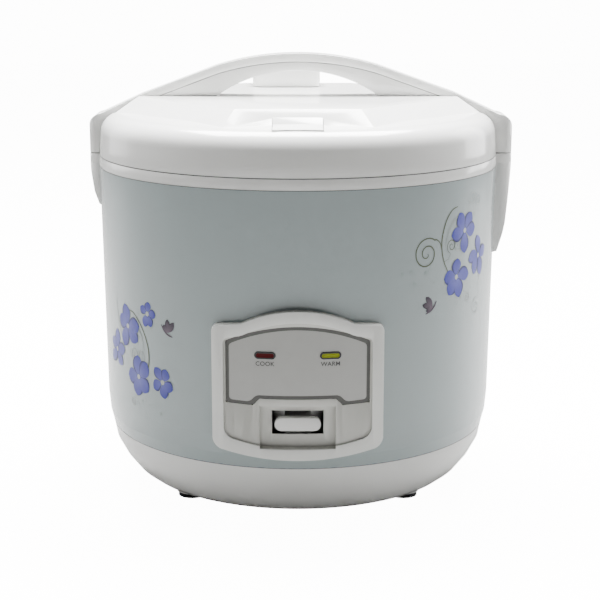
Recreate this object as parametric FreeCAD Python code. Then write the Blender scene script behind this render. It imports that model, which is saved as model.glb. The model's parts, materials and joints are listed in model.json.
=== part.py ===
import FreeCAD, Part
import math
import os
from FreeCAD import Vector as V

# Rice cooker with a hinged lid and a carrying handle. Millimetres, +Z up, front towards -Y.
# The origin is on the body's axis, on the surface that the feet stand on.

# Body
seamZ = 225.5            # where the lid meets the collar
shellTopZ = 218.4
shellTopR = 131.3
shellLowZ = 66.0
shellLowR = 129.2
shellFootZ = 46.0
shellFootR = 126.2
shellWall = 1.2
baseZ = 8.5              # underside of the base bowl
baseR = 105.5
baseFloorZ = 11.5
baseHoleR = 60.0
coverR = 67.0
coverScrewR = 63.5
footCircleR = 83.0
footAngles = [32, 148, 212, 328]
footHeight = 3.0
footR = 9.5

# Pot, liner and heater
linerR = 104.5
linerFloorZ = 48.0
plateTopZ = 62.0
plateR = 76.0
potR = 101.0
potWall = 1.6
potRimR = 111.5
ledgeZ = 221.0           # the collar's ledge that carries the pot's rim

# Lid
lidR = 131.0
lidWall = 2.5
domeZ = 258.5
crownZ = 262.5           # the raised flat middle of the lid
crownFootZ = 249.0
buttonHalf = 15.0
ventX = -8.0
ventY = 76.0

# Hinge, with its axis along X
hingeY = 134.0
hingeZ = 228.0
knuckleR = 6.0
pinR = 2.5

# Lid catch, which turns about X
latchY = -117.0
latchZ = 239.5

# Side fittings and handle
rightX = 141.5
leftX = -137.5
earHalf = 14.0
handleTopZ = 290.0
gripHalf = 9.0

# Front panel
bezelR = 136.6
panelFaceR = 134.8
plateSeatR = 132.8
pocketR = 130.4
pocketHalf = 23.0
lampX = 19.7
lampZ = 119.6

# Cook lever
leverY = -70.0
leverZ = 40.0


def block(x0, x1, y0, y1, z0, z1):
    return Part.makeBox(x1 - x0, y1 - y0, z1 - z0, V(x0, y0, z0))


def rod(radius, start, end):
    start, end = V(*start), V(*end)
    return Part.makeCylinder(radius, start.distanceToPoint(end), start, end - start)


def pipe(outer, inner, start, end):
    return rod(outer, start, end).cut(rod(inner, start, end))


def turned(points):
    """A closed outline of (radius, height) turned about the body's axis."""
    corners = [V(r, 0, z) for r, z in points]
    face = Part.Face(Part.makePolygon(corners + corners[:1]))
    return face.revolve(V(0, 0, 0), V(0, 0, 1), 360)


def outlineFace(points, y=0.0):
    """A flat face in a plane across Y; an entry of four numbers is an arc's middle and end."""
    edges = []
    here = V(points[0][0], y, points[0][1])
    for step in points[1:] + points[:1]:
        if len(step) == 4:
            middle = V(step[0], y, step[1])
            there = V(step[2], y, step[3])
            edges.append(Part.Arc(here, middle, there).toShape())
        else:
            there = V(step[0], y, step[1])
            if here.distanceToPoint(there) > 1e-6:
                edges.append(Part.makeLine(here, there))
        here = there
    return Part.Face(Part.Wire(edges))


def along(points, y0, y1):
    return outlineFace(points, y0).extrude(V(0, y1 - y0, 0))


def ringCut(shape, inner, outer):
    """The part of a shape between two upright cylinders about the body's axis."""
    tall = Part.makeCylinder(outer, 400)
    return shape.common(tall).cut(Part.makeCylinder(inner, 400))


def joined(shapes):
    return shapes[0].fuse(shapes[1:]).removeSplitter()


def coil(radius, wire, turns, start, end):
    """A round-wire spring between two points on its axis."""
    start, end = V(*start), V(*end)
    length = start.distanceToPoint(end) - 2 * wire
    helix = Part.makeHelix(length / turns, length, radius)
    section = Part.Wire(Part.makeCircle(wire, V(radius, 0, 0), V(0, 1, 0)))
    spring = Part.Wire(helix.Edges).makePipeShell([section], True, True)
    turn = FreeCAD.Rotation(V(0, 0, 1), end - start)
    step = (end - start).normalize() * wire
    spring.Placement = FreeCAD.Placement(start + step, turn)
    return spring


def atAngles(shape, angles):
    copies = []
    for angle in angles:
        copy = shape.copy()
        copy.rotate(V(0, 0, 0), V(0, 0, 1), angle)
        copies.append(copy)
    return copies


def save(name, shape):
    if isinstance(shape, list):
        shape = Part.makeCompound(shape)
    shape.exportStep(f"parts/{name}.step")


# Solids that several pieces are cut with

shellSolid = turned([(0, shellFootZ), (shellFootR, shellFootZ), (shellLowR - 1, 54),
                     (shellLowR, shellLowZ), (shellTopR, shellTopZ), (0, shellTopZ)])


def lidSolid(inset):
    """The lid's full round form, shrunk by an inset."""
    wallR = lidR - inset
    edges = [
        Part.makeLine(V(0, 0, seamZ), V(wallR, 0, seamZ)),
        Part.makeLine(V(wallR, 0, seamZ), V(wallR - 1, 0, 240)),
        Part.Arc(V(wallR - 1, 0, 240), V(wallR - 4.8, 0, 248.6 - inset),
                 V(wallR - 15, 0, 252.6 - inset)).toShape(),
        Part.Arc(V(wallR - 15, 0, 252.6 - inset), V(60, 0, 257 - inset),
                 V(0, 0, domeZ - inset)).toShape(),
        Part.makeLine(V(0, 0, domeZ - inset), V(0, 0, seamZ)),
    ]
    return Part.Face(Part.Wire(edges)).revolve(V(0, 0, 0), V(0, 0, 1), 360)


def crownOutline(corners, inset, z):
    """A closed outline from the corners of one quarter, mirrored both ways."""
    quarter = [(x - inset, y - inset) for x, y in corners]
    right = quarter + [(x, -y) for x, y in reversed(quarter)]
    points = [V(x, y, z) for x, y in right + [(-x, y) for x, y in reversed(right)]]
    return Part.makePolygon(points + points[:1])


def crownSolid(inset):
    """The raised middle of the lid: a flat top with slanted sides all round."""
    foot = crownOutline([(48, 109), (92, 62), (124, 14)], inset, crownFootZ)
    top = crownOutline([(38, 94), (77.3, 52), (104, 12)], inset, crownZ - inset)
    return Part.makeLoft([foot, top], True, True)


lidForm = lidSolid(0).fuse(crownSolid(0)).removeSplitter()


# Outer body

def makeShell():
    wall = shellWall
    shell = turned([(shellFootR, shellFootZ), (shellLowR - 1, 54), (shellLowR, shellLowZ),
                    (shellTopR, shellTopZ), (shellTopR - wall, shellTopZ),
                    (shellLowR - wall, shellLowZ), (shellLowR - 1 - wall, 54),
                    (shellFootR - wall, shellFootZ)])
    panelWindow = block(-36, 36, -140, -100, 60, 128)
    inletWindow = block(-20.5, 20.5, 100, 140, 63.5, 92.5)
    cupWindow = block(-32.2, 32.2, 100, 140, 169.8, 198.2)
    return shell.cut([panelWindow, inletWindow, cupWindow])


def coverScrews():
    screws = []
    for k in range(4):
        head = rod(3.2, (coverScrewR, 0, baseZ - 2.2), (coverScrewR, 0, baseZ - 1.2))
        shank = rod(1.5, (coverScrewR, 0, baseZ - 1.2), (coverScrewR, 0, baseZ + 3))
        screws += atAngles(head.fuse(shank), [k * 90])
    return screws


def makeBase():
    bowl = turned([(95, baseZ), (baseR, 12), (112, 17), (119, 26), (124.3, 36), (shellFootR, shellFootZ),
                   (124.7, shellFootZ), (124.7, 56), (122.4, 56), (122.4, 44), (120.8, 36.5),
                   (116, 28), (109.8, 19.8), (104, 15), (94.5, baseFloorZ),
                   (baseHoleR, baseFloorZ), (baseHoleR, baseZ)])
    bump = Part.makeCone(10.5, 13.5, 15, V(footCircleR, 0, footHeight))
    bumps = joined(atAngles(bump, footAngles))
    inside = turned([(0, baseFloorZ), (94.5, baseFloorZ), (104, 15), (109.8, 19.8), (116, 28), (0, 28)])
    stems = [foot.common(block(-200, 200, -200, 200, footHeight, 20)) for foot in feet()]
    return bowl.fuse(bumps.cut(inside)).removeSplitter().cut(stems + coverScrews())


def feet():
    pad = rod(footR, (footCircleR, 0, 0), (footCircleR, 0, footHeight))
    stem = rod(3, (footCircleR, 0, footHeight), (footCircleR, 0, footHeight + 5))
    return atAngles(pad.fuse(stem).removeSplitter(), footAngles)


def makeBottomCover():
    disc = rod(coverR, (0, 0, baseZ - 1.2), (0, 0, baseZ))
    slot = block(34, 58, -1.6, 1.6, 0, 20)
    return disc.cut(atAngles(slot, [k * 20 for k in range(18)]) + coverScrews())


def makeRing():
    ring = turned([(shellTopR, shellTopZ), (lidR, seamZ - 0.25), (112.5, seamZ - 0.25),
                   (112.5, ledgeZ), (106, ledgeZ), (106, shellTopZ), (127.4, shellTopZ),
                   (127.4, 210), (129.8, 210), (129.8, shellTopZ)])
    lobeBottom = shellTopZ + 0.6
    right = block(125, rightX, -earHalf, earHalf, lobeBottom, seamZ - 0.25)
    left = block(leftX, -125, -earHalf, earHalf, lobeBottom, seamZ - 0.25)
    lobes = earCorners(right.fuse(left))
    clear = Part.makeCylinder(126, 400)
    latchSlot = block(-9, 9, -125, -114, 200, 240)
    knuckleRoom = rod(knuckleR + 0.5, (-31, hingeY, hingeZ), (31, hingeY, hingeZ))
    return joined([ring, lobes.cut(clear)]).cut([latchSlot, knuckleRoom])


def earCorners(shape):
    """Rounds the outer upright edges of a side fitting."""
    rounding = 8.0
    forms = []
    for far, sign in ((rightX, 1), (-leftX, -1)):
        inner = far - rounding
        flat = earHalf - rounding
        pieces = [block(0, inner, -earHalf, earHalf, 100, 300),
                  block(inner - 1, far, -flat, flat, 100, 300)]
        for side in (-flat, flat):
            pieces.append(rod(rounding, (inner, side, 100), (inner, side, 300)))
        form = joined(pieces)
        forms.append(form if sign > 0 else form.mirror(V(0, 0, 0), V(1, 0, 0)))
    return shape.common(joined(forms))


def makeEars():
    top = shellTopZ + 0.6
    rightOutline = [(125, 158), (132.6, 160), (136.3, 172), (137.8, 179), (139.2, 193),
                    (rightX, top), (125, top)]
    leftOutline = [(-125, 188), (-131.5, 192), (-134.6, 200), (leftX + 0.6, 213), (leftX, top),
                   (-125, top)]
    underRing = turned([(0, shellTopZ), (lidR + 0.3, shellTopZ), (lidR + 0.3, top), (0, top)])
    right = earCorners(along(rightOutline, -earHalf, earHalf)).cut([shellSolid, underRing])
    left = earCorners(along(leftOutline, -earHalf, earHalf)).cut([shellSolid, underRing])
    spoonSlot = block(rightX - 7, 150, -4, 4, 201, 213)
    return right.cut(spoonSlot), left


# Pot and heater

def makeLiner():
    wall = 1.0
    low = linerFloorZ
    cup = turned([(60, low), (linerR, low), (linerR, shellTopZ - wall),
                  (126.4, shellTopZ - wall), (126.4, shellTopZ), (linerR - wall, shellTopZ),
                  (linerR - wall, low + wall), (60, low + wall)])
    latchSlot = block(-9, 9, -126, -114, 200, 240)
    return cup.cut(latchSlot)


def makePot():
    low = plateTopZ
    rim = ledgeZ
    corner = 12.0
    inside = potR - potWall
    step = corner * 0.293
    return turned([(0, low), (potR - corner, low), (potR - step, low + step),
                   (potR, low + corner), (potR, rim), (potRimR, rim), (potRimR, rim + 1.4),
                   (inside, rim + 1.4), (inside, low + corner + 0.6),
                   (inside - step, low + step + potWall), (inside - corner, low + 2.2),
                   (0, low + 2.2)])


def makeHeatingPlate():
    return turned([(17, 52), (plateR, 52), (plateR, 59), (plateR - 3, plateTopZ),
                   (17, plateTopZ)])


def makeElement():
    ring = Part.makeTorus(50, 4, V(0, 0, 48), V(0, 0, 1), 0, 360, 330)
    pins = atAngles(rod(1.5, (50, 0, 36), (50, 0, 46)), [3, 327])
    return joined([ring] + pins)


def sensorParts():
    cup = turned([(0, 58), (14.3, 58), (14.3, 44), (16.5, 44), (16.5, 46), (15.5, 46),
                  (15.5, plateTopZ - 0.3), (0, plateTopZ - 0.3)])
    magnet = rod(8.5, (0, 0, 50), (0, 0, 58))
    moving = rod(8.5, (0, 0, 34.5), (0, 0, 42.5))
    link = rod(1.6, (0, 0, 20), (0, 0, 34.5)).fuse(rod(4, (0, 0, 28), (0, 0, 29.4)))
    spring = coil(12, 0.8, 4.5, (0, 0, 36), (0, 0, 57.8))
    return cup, magnet, moving, link, spring


def makeBracket():
    """The steel bracket for the lever's pin and switch, and the seat of the sensor spring."""
    plate = block(-15, 15, -110, -54, 26, 27.5)
    cheeks = [block(x, x + 1.5, -84, -54, 26, linerFloorZ) for x in (-15, 13.5)]
    pinHole = rod(2, (-20, leverY, leverZ), (20, leverY, leverZ))
    seat = pipe(20, 9.6, (0, 0, 34), (0, 0, 36))
    straps = []
    for x in (-30, 18):
        straps.append(block(x, x + 12, -4, 4, 34, 36))
    for x in (-30, 28.5):
        straps.append(block(x, x + 1.5, -4, 4, 36, 52))
    armRoom = block(-6.5, 6.5, -25, -6, 30, 40)
    return [joined([plate] + cheeks).cut(pinHole), joined([seat] + straps).cut(armRoom)]


def leverPin():
    return rod(2, (-17, leverY, leverZ), (17, leverY, leverZ))


def leverSpring():
    return coil(3.2, 0.5, 3, (11.2, leverY, leverZ), (13.4, leverY, leverZ))


def microSwitch():
    return joined([block(-7, 7, -108, -92, 27.5, 31.5), rod(1.5, (0, -98, 31), (0, -98, 32.6))])


def makeLever():
    hub = rod(4.5, (-11, leverY, leverZ), (11, leverY, leverZ))
    rearArm = block(-5, 5, leverY, 4, 30.6, 33.2)
    step = block(-5, 5, leverY - 3, leverY + 3, 30.6, 38)
    frontArm = block(-8, 8, -117, leverY, 36, 39)
    riser = block(-8, 8, -117, -114.5, 36, 80.5)
    neck = block(-8, 8, -133, -114.5, 77.5, 80.5)
    bar = slotForm(0, 77.4, 27.8, 8.2, -136.2, -131.4)
    rodHole = rod(2.6, (0, 0, 20), (0, 0, 45))
    bore = rod(2.06, (-20, leverY, leverZ), (20, leverY, leverZ))
    return joined([hub, rearArm, step, frontArm, riser, neck, bar]).cut([rodHole, bore])


# Front panel

def bezelOutline(inset):
    """The arched outline of the panel, shrunk by an inset."""
    half = 52.0 - inset
    low = 61.0 + inset
    side = 137.0 - inset
    apex = 147.0 - inset
    return [(-half, low + 6.5), (-half + 2, low + 0.8, -half + 7, low - 1.6),
            (0, 54.5 + inset, half - 7, low - 1.6), (half - 2, low + 0.8, half, low + 6.5),
            (half, side - 4), (half - 1.2, side - 1.2, half - 4, side),
            (34, side + 1.4), (0, apex, -34, side + 1.4), (-half + 4, side),
            (-half + 1.2, side - 1.2, -half, side - 4)]


def plateOutline(inset):
    """The light plate's outline: arched at the top and stepped over the pocket."""
    half = 43.6 - inset
    return [(-half, 89 + inset), (-27 - inset, 88.4 + inset), (-23 - inset, 92.6 + inset),
            (23 + inset, 92.6 + inset), (27 + inset, 88.4 + inset), (half, 89 + inset),
            (half, 127.6 - inset), (0, 137.5 - inset, -half, 127.6 - inset)]


def panelBlank(outline, outer):
    return along(outline, -150, -90).common(Part.makeCylinder(outer, 300))


def slotForm(x, z, width, height, y0, y1):
    half = width / 2 - height / 2
    low = z - height / 2
    high = z + height / 2
    return along([(x - half, low), (x + half, low), (x + width / 2, z, x + half, high),
                  (x - half, high), (x - width / 2, z, x - half, low)], y0, y1)


def makeBezel():
    face = panelBlank(bezelOutline(0), panelFaceR)
    rim = panelBlank(bezelOutline(0), bezelR).cut(along(bezelOutline(7), -150, -90))
    seat = panelBlank(plateOutline(0), 150).cut(Part.makeCylinder(plateSeatR, 300))
    pocket = block(-pocketHalf, pocketHalf, -150, -100, 61.5, 88)
    pocket = pocket.cut(Part.makeCylinder(pocketR, 300))
    slot = block(-15.6, 15.6, -150, -100, 69.5, 84.4)
    windows = [slotForm(x, lampZ, 12.2, 3.9, -150, -100) for x in (-lampX, lampX)]
    return face.fuse(rim).cut([shellSolid, seat, pocket, slot] + windows + panelScrews())


def makePlate():
    plate = ringCut(panelBlank(plateOutline(0.9), 150), plateSeatR, 134.4)
    windows = [slotForm(x, lampZ, 12.2, 3.9, -150, -100) for x in (-lampX, lampX)]
    return plate.cut(windows)


def makeLens(x):
    return ringCut(slotForm(x, lampZ, 12.2, 3.9, -150, -100), 130.6, 135)


def panelElectrics():
    board = block(-30, 30, -122, -120.4, 108, 128)
    lamps = [rod(2, (x, -122, lampZ), (x, -127.6, lampZ)) for x in (-lampX, lampX)]
    return board.cut(panelScrews()), lamps


def panelScrews():
    screws = []
    for x in (-27, 27):
        head = rod(3, (x, -119, 112), (x, -120.4, 112))
        screws.append(head.fuse(rod(1.6, (x, -120.4, 112), (x, -129.4, 112))))
    return screws


# Rear fittings

def makeInlet():
    flange = block(-24, 24, 110, 133, 60, 96).cut([shellSolid, block(-24, 24, 100, 125, 60, 96)])
    housing = block(-20, 20, 112, 131, 64, 92)
    recess = block(-15.5, 15.5, 116, 140, 67.5, 88.5)
    return joined([flange, housing]).cut([recess] + inletPins())


def inletPins():
    return [rod(2, (x, 108, 78), (x, 129, 78)) for x in (-9.5, 0, 9.5)]


def inletScrews():
    return [rod(2.4, (x, 133, 78), (x, 134.2, 78)) for x in (-20, 20)]


def hingeParts():
    knuckles = []
    for x0 in (-44, 34):
        barrel = rod(knuckleR, (x0, hingeY, hingeZ), (x0 + 10, hingeY, hingeZ))
        leg = block(x0, x0 + 10, hingeY - 1, hingeY + 2, 204, hingeZ)
        knuckles.append(barrel.fuse(leg))
    strap = block(-44, 44, hingeY - 1, hingeY + 2, 204, 214)
    pin = rod(pinR, (-45, hingeY, hingeZ), (45, hingeY, hingeZ))
    bracket = joined(knuckles + [strap]).cut([pin, shellSolid])
    springs = [coil(3.5, 0.5, 2.5, (x, hingeY, hingeZ), (x + 3.4, hingeY, hingeZ))
               for x in (-33.7, 30.3)]
    return bracket, pin, springs


def makeHingeCover(bracket):
    outer = block(-50, 50, 115, 141, 166, 220.5)
    outer = outer.cut([shellSolid, Part.makeCylinder(lidR + 0.4, 20, V(0, 0, shellTopZ))])
    box = block(-32, 32, 119, 135, 170, 198)
    cupRoom = block(-30, 30, 121, 160, 172, 196)
    bracketRoom = block(-44.5, 44.5, 120, 136.5, 203.5, 240)
    return joined([outer, box]).cut([cupRoom, bracketRoom, bracket])


def makeCup():
    cup = block(-29.6, 29.6, 121.4, 141, 172.4, 195.6)
    return cup.cut(block(-27.8, 27.8, 123.2, 139.2, 174.2, 200))


# Lid

def ventHole(radius, z0, z1):
    return rod(radius, (ventX, ventY, z0), (ventX, ventY, z1))


buttonRoom = block(-buttonHalf - 0.4, buttonHalf + 0.4, -120.4, -99.6, 236, 300)


def makeLidTop():
    tab = joined([rod(knuckleR, (-30, hingeY, hingeZ), (30, hingeY, hingeZ)),
                  block(-30, 30, 118, hingeY, hingeZ, hingeZ + knuckleR)])
    cavity = lidSolid(lidWall).fuse(crownSolid(lidWall))
    skin = lidForm.cut(cavity)
    pinBore = rod(pinR + 0.06, (-60, hingeY, hingeZ), (60, hingeY, hingeZ))
    tabClear = tab.cut(cavity)
    return joined([skin, tabClear]).cut([pinBore, buttonRoom, ventHole(11, 240, 300)]
                                        + handleScrews())


def makeLining():
    plate = turned([(0, 231), (108, 231), (110, 225.7), (128.2, 225.7), (128.2, 227.7),
                    (111.5, 227.7), (109.4, 233), (0, 233)])
    hookSlot = block(-9, 9, -125, -114, 220, 240)
    knobHole = rod(4, (0, 0, 220), (0, 0, 240))
    lugs = [block(x, x + 3, -121, -113, 226, 243) for x in (-12.2, 9.2)]
    plate = joined([plate] + lugs)
    return plate.cut([hookSlot, knobHole, ventHole(9, 220, 240), latchPin()])


def makeInnerLid():
    lid = turned([(0, 226), (60, 225.2), (98, 224.2), (98, 225.6), (60, 226.6), (0, 227.4)])
    rim = turned([(96, 224.2), (99, 224.2), (99, 228.6), (96, 228.6)])
    small = rod(2.2, (34, 0, 220), (34, 0, 230))
    vents = atAngles(small, [40, 64, 88, 112, 136])
    return joined([lid, rim]).cut(vents + [rod(3, (0, 0, 220), (0, 0, 240))])


def makeInnerLidSeal():
    return turned([(99, 222.8), (105, 222.8), (106, 225), (102, 226), (102, 228.6), (99, 228.6)])


def makeInnerLidKnob():
    knob = rod(8, (0, 0, 223), (0, 0, 226))
    stem = rod(3, (0, 0, 226), (0, 0, 236))
    collar = rod(6, (0, 0, 233), (0, 0, 236))
    knob = joined([knob, stem, collar])
    return knob.cut(makeInnerLid())


def ventParts():
    seat = pipe(10.8, 9, (ventX, ventY, 231), (ventX, ventY, crownZ))
    seat = seat.fuse(pipe(14, 9, (ventX, ventY, 233), (ventX, ventY, 235))).removeSplitter()
    seat = seat.cut(makeLining())
    form = block(ventX - 23.5, ventX + 23.5, 57, 96, crownZ + 0.3, crownZ + 12.8)
    upright = [edge for edge in form.Edges if abs(edge.tangentAt(0).z) > 0.9]
    form = form.makeFillet(8, upright)
    rim = [edge for edge in form.Edges if edge.BoundBox.ZMin > crownZ + 12]
    form = form.makeFillet(2.5, rim)
    stem = pipe(8.4, 6.4, (ventX, ventY, 250), (ventX, ventY, crownZ + 2))
    slots = [block(ventX - 12, ventX + 12, y, y + 2.4, crownZ + 8, crownZ + 20)
             for y in (68, 74, 80, 86)]
    chamber = block(ventX - 14, ventX + 14, 64, 92, crownZ + 2.3, crownZ + 10)
    cap = joined([form.cut(ventHole(6.4, 240, crownZ + 5)), stem]).cut([chamber] + slots)
    return seat, cap


def makeButton():
    """The button stands a little proud; its underside clears the catch when pressed."""
    form = lidSolid(-0.6).fuse(crownSolid(-0.6))
    top = form.common(block(-buttonHalf, buttonHalf, -120, -100, 243, 300))
    pocket = block(-13, 13, -121, -112.5, 240, 246)
    pusher = rod(3, (0, -105, 238.95), (0, -105, 244))
    return top.cut(pocket).fuse(pusher).removeSplitter()


def buttonSprings():
    """Two strip springs, each folded three times."""
    springs = []
    for x in (-9, 9):
        folds = [(x - 4, 233.2), (x + 4, 235.4), (x - 4, 237.7), (x + 4, 240), (x - 4, 242.2)]
        runs = []
        for (x0, z0), (x1, z1) in zip(folds, folds[1:]):
            runs.append(along([(x0, z0), (x1, z1), (x1, z1 + 0.6), (x0, z0 + 0.6)], -107, -103))
        springs.append(joined(runs))
    return springs


def latchPin():
    return rod(1.5, (-13, latchY, latchZ), (13, latchY, latchZ))


def makeHook():
    """The catch: its nose stops just short of the collar, and its arm lies under the button."""
    leg = block(-6, 6, -120, -117.5, 213.5, latchZ)
    nose = block(-6, 6, -118, -114.3, 213.5, 216.8)
    hub = rod(3.4, (-6, latchY, latchZ), (6, latchY, latchZ))
    arm = block(-3, 3, latchY, -102.5, 236, 237.6)
    bore = rod(1.56, (-20, latchY, latchZ), (20, latchY, latchZ))
    return joined([leg, nose, hub, arm]).cut(bore)


# Handle

def handleOutline(drop):
    """The arch seen from the front, lowered by a drop for the joint between its halves."""
    top = handleTopZ - drop
    right = rightX - drop
    left = leftX + drop
    return [(125, seamZ + 0.3), (right, seamZ + 0.3), (right, 241 - drop),
            (right - 2.8, 248 - drop, right - 9.5, 250.8 - drop), (104, 264 - drop),
            (53, 282.2 - drop), (0, top, -53, 282.2 - drop), (-104, 263 - drop),
            (left + 8, 251.2 - drop), (left + 2, 248 - drop, left, 241 - drop),
            (left, seamZ + 0.3), (-125, seamZ + 0.3), (-125, 240), (-90, 250), (90, 250),
            (125, 240)]


def handleForm():
    arch = along(handleOutline(0), -20, 20)
    plan = [V(-150, -13, 0), V(-125, -13, 0), V(-90, -gripHalf, 0), V(90, -gripHalf, 0),
            V(125, -13, 0), V(150, -13, 0), V(150, 13, 0), V(125, 13, 0), V(90, gripHalf, 0),
            V(-90, gripHalf, 0), V(-125, 13, 0), V(-150, 13, 0)]
    width = Part.Face(Part.makePolygon(plan + plan[:1])).extrude(V(0, 0, 400))
    gap = along([(-54, 262), (0, 279.2, 54, 262), (54, 240), (-54, 240)], -40, 40)
    return earCorners(arch.common(width)).cut([gap, lidForm])


def handleScrews():
    """Screws from inside the lid up into the handle's feet."""
    screws = []
    for x in (-82, 82):
        head = rod(3, (x, 0, crownZ - lidWall - 1.8), (x, 0, crownZ - lidWall))
        screws.append(head.fuse(rod(1.6, (x, 0, crownZ - lidWall), (x, 0, 268))).removeSplitter())
    return screws


def handleParts():
    form = handleForm().cut(handleScrews())
    lower = along(handleOutline(5.5), -40, 40)
    lower = lower.common(block(-119, 119, -40, 40, 240, 300))
    return form.cut(lower), form.common(lower), handleScrews()


# Small inner pieces

def softPath(points, radius, thickness):
    """A wire of straight runs joined by arcs."""
    edges = []
    here = V(*points[0])
    for before, corner, after in zip(points, points[1:], points[2:]):
        before, corner, after = V(*before), V(*corner), V(*after)
        inward = (before - corner).normalize()
        outward = (after - corner).normalize()
        half = inward.getAngle(outward) / 2
        reach = radius / math.tan(half)
        first = corner + inward * reach
        last = corner + outward * reach
        middle = corner + (inward + outward).normalize() * (radius / math.sin(half) - radius)
        edges.append(Part.makeLine(here, first))
        edges.append(Part.Arc(first, middle, last).toShape())
        here = last
    edges.append(Part.makeLine(here, V(*points[-1])))
    start = V(*points[0])
    section = Part.Wire(Part.makeCircle(thickness, start, V(*points[1]) - start))
    return Part.Wire(edges).makePipeShell([section], True, False)


def makeWires():
    """The two inner leads: one to the heater, one to the switch under the lever."""
    toHeater = [(9.5, 110, 76), (9.5, 110, 22), (50, 2.6, 22), (50, 2.6, 36)]
    toSwitch = [(-9.5, 110, 76), (-9.5, 110, 22), (-40, 0, 22), (-30, -100, 29.5),
                (-7, -100, 29.5)]
    return [softPath(toHeater, 8, 1.2), softPath(toSwitch, 8, 1.2)]


def posts(circleR, z0, z1):
    return atAngles(rod(4, (circleR, 0, z0), (circleR, 0, z1)), [90, 210, 330])


def main():
    os.makedirs("parts", exist_ok=True)
    save("outer_shell", makeShell())
    save("base", makeBase())
    save("bottom_cover", makeBottomCover())
    save("cover_screws", coverScrews())
    for k, foot in enumerate(feet(), 1):
        save(f"foot_{k}", foot)
    save("rim_ring", makeRing())
    rightEar, leftEar = makeEars()
    save("right_ear", rightEar)
    save("left_ear", leftEar)
    save("inner_liner", makeLiner())
    save("inner_pot", makePot())
    save("heating_plate", makeHeatingPlate())
    save("heating_element", makeElement())
    cup, magnet, moving, link, spring = sensorParts()
    save("sensor_cup", cup)
    save("fixed_magnet", magnet)
    save("moving_magnet", moving)
    save("magnet_rod", link)
    save("sensor_spring", spring)
    save("lever_bracket", makeBracket())
    save("lever_pin", leverPin())
    save("lever_spring", leverSpring())
    save("micro_switch", microSwitch())
    save("cook_lever", makeLever())
    save("support_posts", posts(90, baseFloorZ, linerFloorZ))
    save("plate_legs", posts(68, linerFloorZ + 1, 52))
    save("thermal_fuse", rod(2, (-12, 76, linerFloorZ - 2), (12, 76, linerFloorZ - 2)))
    save("side_heater", pipe(linerR + 1.2, linerR, (0, 0, 110), (0, 0, 150)))
    save("mains_wires", makeWires())
    save("panel_bezel", makeBezel())
    save("panel_plate", makePlate())
    save("cook_lens", makeLens(-lampX))
    save("warm_lens", makeLens(lampX))
    board, lamps = panelElectrics()
    save("indicator_board", board)
    save("indicator_lamps", lamps)
    save("panel_screws", panelScrews())
    save("power_inlet", makeInlet())
    save("inlet_pins", inletPins())
    save("inlet_screws", inletScrews())
    bracket, pin, springs = hingeParts()
    save("hinge_bracket", bracket)
    save("hinge_pin", pin)
    save("hinge_springs", springs)
    save("hinge_cover", makeHingeCover(bracket))
    save("condensation_cup", makeCup())
    save("lid_top", makeLidTop())
    save("lid_lining", makeLining())
    save("inner_lid", makeInnerLid())
    save("inner_lid_seal", makeInnerLidSeal())
    save("inner_lid_knob", makeInnerLidKnob())
    seat, cap = ventParts()
    save("vent_seat", seat)
    save("vent_cap", cap)
    save("release_button", makeButton())
    save("button_springs", buttonSprings())
    save("latch_hook", makeHook())
    save("latch_pin", latchPin())
    cover, shell, screws = handleParts()
    save("handle_cover", cover)
    save("handle_shell", shell)
    save("handle_screws", screws)


main()
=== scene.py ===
import bpy
import bmesh
import json
import math
import random
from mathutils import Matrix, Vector


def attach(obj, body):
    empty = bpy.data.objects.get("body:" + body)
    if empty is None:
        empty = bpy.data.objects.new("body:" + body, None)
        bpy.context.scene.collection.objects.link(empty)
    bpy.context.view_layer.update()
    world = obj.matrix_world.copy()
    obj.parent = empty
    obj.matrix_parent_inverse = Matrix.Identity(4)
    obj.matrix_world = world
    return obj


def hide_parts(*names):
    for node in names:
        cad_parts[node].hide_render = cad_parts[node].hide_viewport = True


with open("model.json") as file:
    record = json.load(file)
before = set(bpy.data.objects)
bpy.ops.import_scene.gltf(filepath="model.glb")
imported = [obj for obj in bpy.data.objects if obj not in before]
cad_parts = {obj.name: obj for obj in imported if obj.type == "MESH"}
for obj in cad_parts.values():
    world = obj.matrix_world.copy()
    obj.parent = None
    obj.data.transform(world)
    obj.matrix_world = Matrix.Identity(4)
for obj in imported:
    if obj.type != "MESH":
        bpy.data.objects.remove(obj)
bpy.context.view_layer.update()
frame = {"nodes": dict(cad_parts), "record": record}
nodes = frame["nodes"]
nodeBody = {n: body for body, members in frame["record"]["behaviour"]["bodies"].items() for n in members}
nodeSlot = {part["node"]: part["material_slot"] for part in frame["record"]["subparts"]}
mm = 0.001
print("frame loaded:", len(nodes), "nodes")


# Camera, floor and lights

studio = {
    "cameraPlace": (0, -1.016, 0.355),
    "cameraPitch": 77.15,
    "lens": 91.74,
    "shiftX": 0.0037,
    "skyFront": (0.06, 0.06, 0.06),
    "skyBack": (0.55, 0.55, 0.545),
    "skySeen": (14, 14, 13.8),
    "floorColor": (0.27, 0.27, 0.265),
    "floorGlow": 13.5,  # only the camera sees it
    "floorRough": 0.6,
    "floorReach": 4.0,
    # place, aim, width, height, watts
    "lights": {
        "overhead": ((0.0, 0.34, 1.45), (0, 0.0, 0.2), 1.3, 0.7, 225),
        "leftBox": ((-1.1, 0.65, 0.5), (0, 0, 0.14), 0.6, 0.9, 4.0),
        "rightBox": ((1.1, 0.6, 0.5), (0, 0, 0.14), 0.6, 0.9, 12),
    },
}


def addNode(tree, kind, links=None, **settings):
    node = tree.nodes.new(kind)
    for key, value in settings.items():
        setattr(node, key, value)
    for socket, source in (links or {}).items():
        if isinstance(source, bpy.types.NodeSocket):
            tree.links.new(source, node.inputs[socket])
        else:
            node.inputs[socket].default_value = source
    return node


def aimed(place, target):
    return (Vector(target) - Vector(place)).to_track_quat("-Z", "Y").to_euler()


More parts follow.
